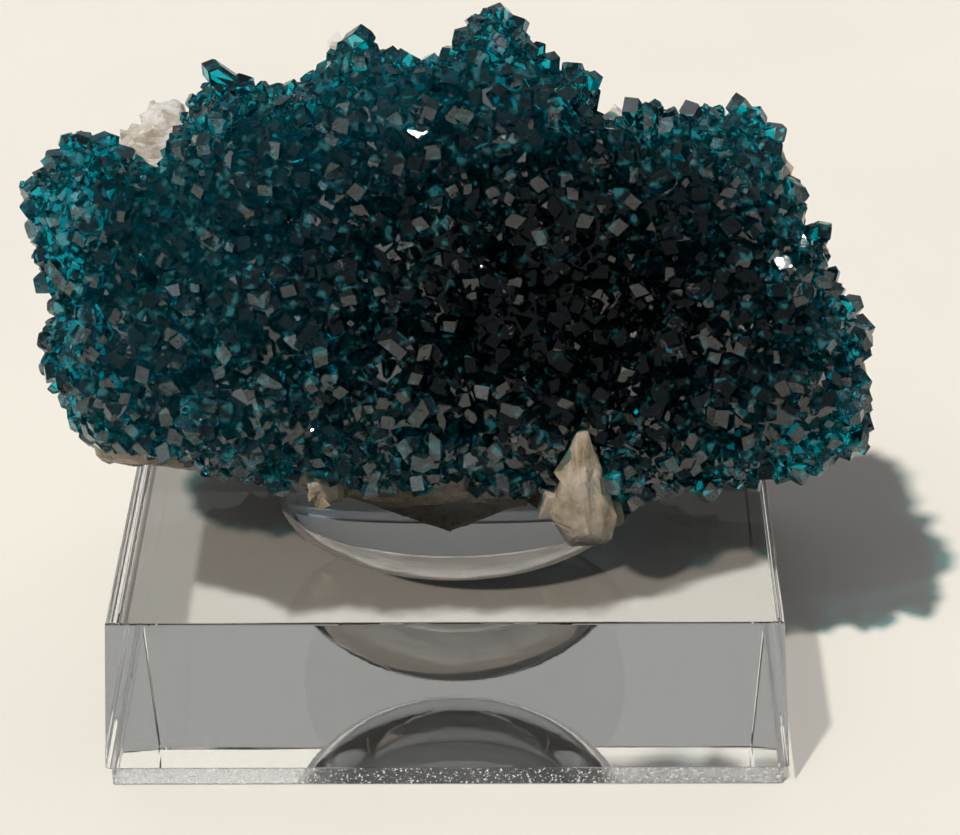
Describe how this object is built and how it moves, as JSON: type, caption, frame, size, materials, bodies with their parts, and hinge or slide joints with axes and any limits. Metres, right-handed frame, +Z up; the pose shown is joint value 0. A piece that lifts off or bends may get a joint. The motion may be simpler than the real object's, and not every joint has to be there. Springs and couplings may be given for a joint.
{
  "type": "dioptase crystal specimen on a clear display block",
  "caption": "Druse of deep teal dioptase crystals on pale calcite matrix, leaning upright in the scooped recess of a clear acrylic display block.",
  "frame": {"origin": "centre of the display block's underside, on the surface that it stands on", "axes": "+Z up; +X along the specimen's width, to the right of a viewer who faces the crystals; the crystal face looks towards -Y and leans back towards +Y"},
  "size_m": [0.1118, 0.0688, 0.0912],
  "materials": {
    "clear_acrylic": "polished, clear, foot strip left rough",
    "calcite_matrix": "broken and milky, with small glossy cleavage faces",
    "dioptase": "glassy crystal faces, deep teal, dark where thick"
  },
  "bodies": {
    "root": {"acrylic_base": "clear_acrylic", "matrix": "calcite_matrix", "dioptase_crust": "dioptase"}
  },
  "joints": []
}
